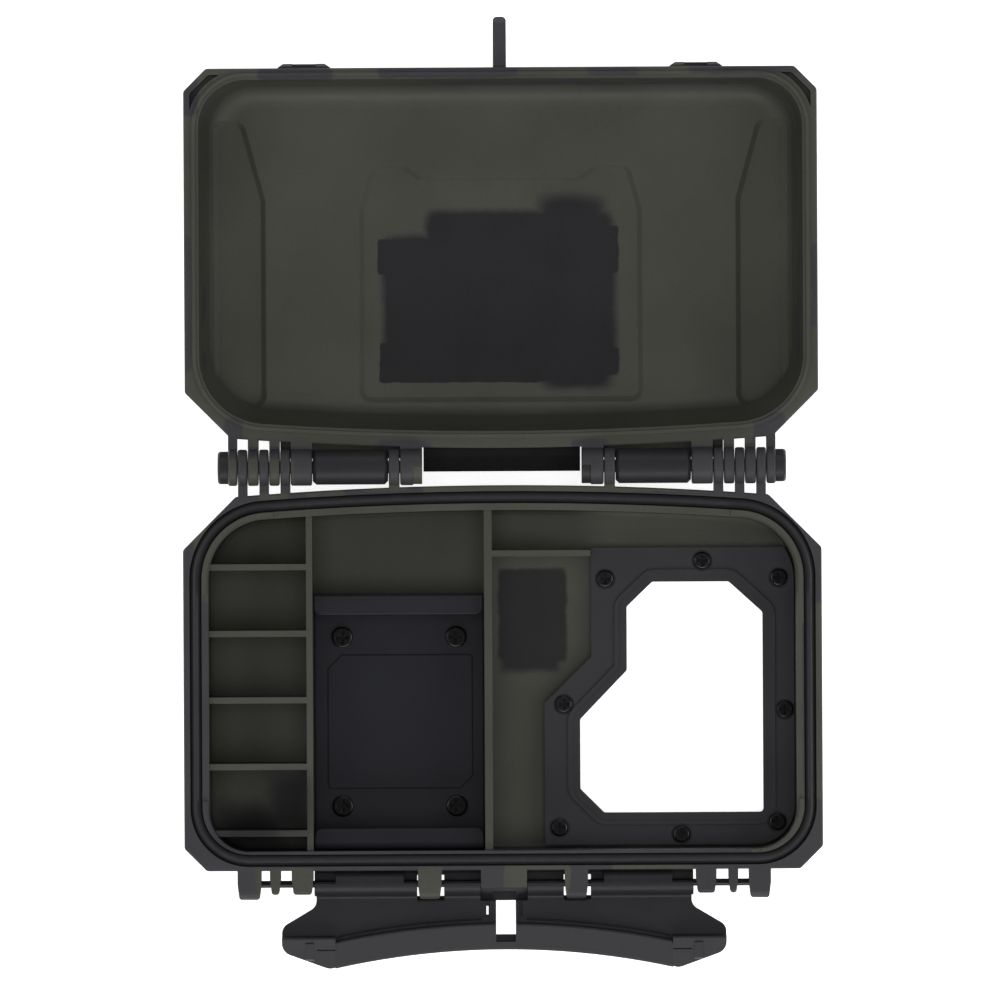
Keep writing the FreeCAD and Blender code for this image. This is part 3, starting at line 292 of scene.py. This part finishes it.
def lid_material():
    """Olive nylon; charcoal camouflage on the flange and the outside, overspray on the floor panel."""
    n, from_wall, ragged = shell_coat("lid_look", 1)
    outside = n.fade(from_wall, 0.4 * MM, 1.2 * MM)
    flange = n.math("MAXIMUM", n.patches(1, LID_CHARCOAL, ragged),
                    hidden_camouflage(n, (0.13, 0.31, 0.07)))
    bare = n.math("SUBTRACT", 1.0, n.patches(1, LID_KNUCKLE_OLIVE, ragged))
    flange = n.math("MULTIPLY", flange, bare)
    spray = inside_spray(n, 1, LID_SPRAY, n.math("MULTIPLY", ragged, 0.8), 0.96)
    return shell_finish(n, n.math("MULTIPLY", outside, flange), spray)


def base_material():
    """Olive nylon; the flange, the latch side and parts of the lip are charcoal with olive patches."""
    n, from_wall, ragged = shell_coat("base_look", -1)
    lip = n.math("MULTIPLY", n.patches(-1, BASE_LIP_CHARCOAL, ragged), LIP_WIDTH + 0.3 * MM)
    start = n.math("ADD", n.math("SUBTRACT", from_wall, LIP_WIDTH), lip)
    outside = n.fade(start, 0.0, 0.6 * MM)
    olive = n.math("MAXIMUM", n.patches(-1, BASE_OLIVE, ragged),
                   hidden_camouflage(n, (0.43, 0.11, 0.07)))
    dark = n.math("MULTIPLY", outside, n.math("SUBTRACT", 1.0, olive))
    spray = inside_spray(n, -1, BASE_SPRAY, ragged, 0.9)
    return shell_finish(n, dark, spray)


def charcoal_material(name, colour, rough, grain_size=0.5 * MM, grain_depth=0.03 * MM):
    """Dark moulded plastic or painted sheet with a fine even grain."""
    n = Nodes(name)
    n.set(Base_Color=n.mix(n.fade(n.noise(0.02, 4.0), 0.3, 0.7), colour, lighter(colour, 1.12)),
          Roughness=n.fade(n.noise(0.006, 4.0), 0.3, 0.7, rough - 0.02, rough + 0.02),
          Specular_IOR_Level=CHARCOAL_SPECULAR)
    n.surface(grain_size, grain_depth)
    return n.material


def olive_material():
    """Unpainted olive nylon."""
    n = Nodes("olive_look")
    n.set(Base_Color=n.mix(n.noise(0.01, 3.0), OLIVE, OLIVE_LIGHT),
          Roughness=n.fade(n.noise(0.006, 4.0), 0.3, 0.7, *OLIVE_ROUGHNESS),
          Specular_IOR_Level=SHELL_SPECULAR)
    n.surface(SHELL_GRAIN_SIZE, SHELL_GRAIN_DEPTH)
    return n.material


def rubber_material():
    """Satin black rubber cord and sheet."""
    n = Nodes("seal_rubber_look")
    n.set(Base_Color=n.mix(n.noise(0.004, 3.0), (0.019, 0.019, 0.021), (0.024, 0.024, 0.026)),
          Roughness=n.fade(n.noise(0.003, 2.0), 0.3, 0.7, 0.34, 0.46))
    n.surface(0.8 * MM, 0.02 * MM, 0.2 * MM)
    return n.material


def metal_material(name, colour, rough, streak=(1.0, 1.0, 1.0)):
    """Plain metal; streak stretches its marks along an axis."""
    n = Nodes(name)
    n.set(Base_Color=n.mix(n.noise(0.0012, 4.0, 0.6, streak), colour, lighter(colour, 1.25)),
          Roughness=n.fade(n.noise(0.0008, 4.0, 0.6, streak), 0.3, 0.7, rough - 0.06, rough + 0.08),
          Metallic=1.0)
    n.surface(0.4 * MM, 0.01 * MM, 0.15 * MM)
    return n.material


def pane_material():
    """Very clear sheet: the white background shows through it."""
    n = Nodes("clear_pane_look")
    n.set(Base_Color=n.mix(n.noise(0.05, 1.0), (0.75, 0.80, 0.80), (0.82, 0.86, 0.86)),
          Roughness=n.fade(n.noise(0.01, 3.0), 0.3, 0.7, 0.03, 0.06),
          Alpha=0.07)
    return n.material


def give(material, *nodes):
    """Put one material on the frame's meshes of these nodes."""
    for node in nodes:
        mesh = frame["nodes"][node].data
        mesh.materials.clear()
        mesh.materials.append(material)


def dress_frame():
    give(base_material(), "base_shell")
    give(lid_material(), "lid_shell")
    give(rubber_material(), "seal_ring", "window_gasket")
    give(pane_material(), "window_pane")
    give(charcoal_material("frame_look", (0.0250, 0.0250, 0.028), 0.42), "window_frame")
    give(charcoal_material("holder_look", (0.0125, 0.0128, 0.0160), 0.45, 0.9 * MM, 0.01 * MM),
         "holder_bracket")
    give(charcoal_material("latch_look", (0.0138, 0.0140, 0.016), 0.46, 0.4 * MM, 0.04 * MM),
         "latch_handle")
    give(charcoal_material("sleeve_look", (0.016, 0.016, 0.018), 0.48),
         "hinge_sleeve_left", "hinge_sleeve_right", "hinge_end_cap_left", "hinge_end_cap_right",
         "hinge_plug_right")
    give(olive_material(), "hinge_plug_left")
    # The hinge guard is black plastic, made far darker than the other black parts: painted shade for
    # the deep shadow it sits in behind the hinge.
    give(charcoal_material("guard_black_painted_shade_look", (0.0014, 0.0014, 0.0017), 0.85), "hinge_guard")
    give(metal_material("screw_look", (0.055, 0.055, 0.058), 0.36), "window_screws", "holder_screws")
    give(metal_material("brass_look", (0.55, 0.38, 0.14), 0.35), "window_inserts", "holder_inserts")
    give(metal_material("steel_look", (0.05, 0.05, 0.052), 0.35, (0.2, 3.0, 3.0)),
         "hinge_pin_left", "hinge_pin_right", "latch_pin")


# ---- stage, light and camera --------------------------------------------------------------------
def make_floor():
    """White, slightly glowing surface, which gives the photograph's white background."""
    bpy.ops.mesh.primitive_plane_add(size=FLOOR_SIZE, location=(0, 0, CAD_LOW.z - FLOOR_GAP))
    floor = bpy.context.object
    floor.name = "floor"
    n = Nodes("floor_look")
    n.set(Base_Color=n.mix(n.noise(0.5, 2.0), (0.88, 0.88, 0.88), (0.92, 0.92, 0.92)),
          Roughness=0.9, Emission_Color=(1.0, 1.0, 1.0), Emission_Strength=0.78)
    floor.data.materials.append(n.material)


def area_light(name, location, width, depth, watts):
    """Rectangular light that points at the frame's origin."""
    data = bpy.data.lights.new(name, "AREA")
    data.shape = "RECTANGLE"
    data.size = width
    data.size_y = depth
    data.energy = watts
    light = bpy.data.objects.new(name, data)
    bpy.context.collection.objects.link(light)
    light.location = location
    light.rotation_euler = (-Vector(location)).to_track_quat("-Z", "Y").to_euler()


def overhead_light(strength):
    """Very soft light from above, which reaches the floors of the deep pockets. It makes no
    highlights, because they would turn the black pieces grey."""
    data = bpy.data.lights.new("overhead", "SUN")
    data.energy = strength
    data.angle = math.radians(32)
    light = bpy.data.objects.new("overhead", data)
    bpy.context.collection.objects.link(light)
    light.location = (0.0, 0.0, 2.0)
    light.rotation_euler = (math.radians(5), 0.0, 0.0)
    light.visible_glossy = False


def make_lights():
    overhead_light(1.6)
    area_light("key_front", (0.0, -1.05, 0.75), 1.4, 0.5, 6.6)
    area_light("key_back", (0.0, 1.1, 0.75), 1.4, 0.5, 2.2)
    area_light("side_right", (1.05, -0.1, 0.8), 0.5, 1.2, 5.2)
    area_light("side_left", (-1.05, 0.1, 0.8), 0.5, 1.2, 3.6)
    world = bpy.data.worlds.new("studio")
    bpy.context.scene.world = world
    world.use_nodes = True
    background = world.node_tree.nodes["Background"]
    background.inputs["Color"].default_value = (1.0, 1.0, 1.0, 1.0)
    background.inputs["Strength"].default_value = 0.10


def make_camera():
    data = bpy.data.cameras.new("camera")
    data.sensor_width = SENSOR_WIDTH
    data.lens = data.sensor_width * CAMERA_DISTANCE / FRAME_WIDTH
    data.clip_start = 0.1
    data.clip_end = 20.0
    camera = bpy.data.objects.new("camera", data)
    bpy.context.collection.objects.link(camera)
    camera.location = (FRAME_SHIFT_X, HINGE_Y + FRAME_CENTRE_FROM_HINGE, RIM_Z + CAMERA_DISTANCE)
    camera.rotation_euler = (0.0, 0.0, CAMERA_ROLL)
    bpy.context.scene.camera = camera
    bpy.context.scene.view_settings.view_transform = "Standard"


make_camera()
make_floor()
make_lights()
dress_frame()
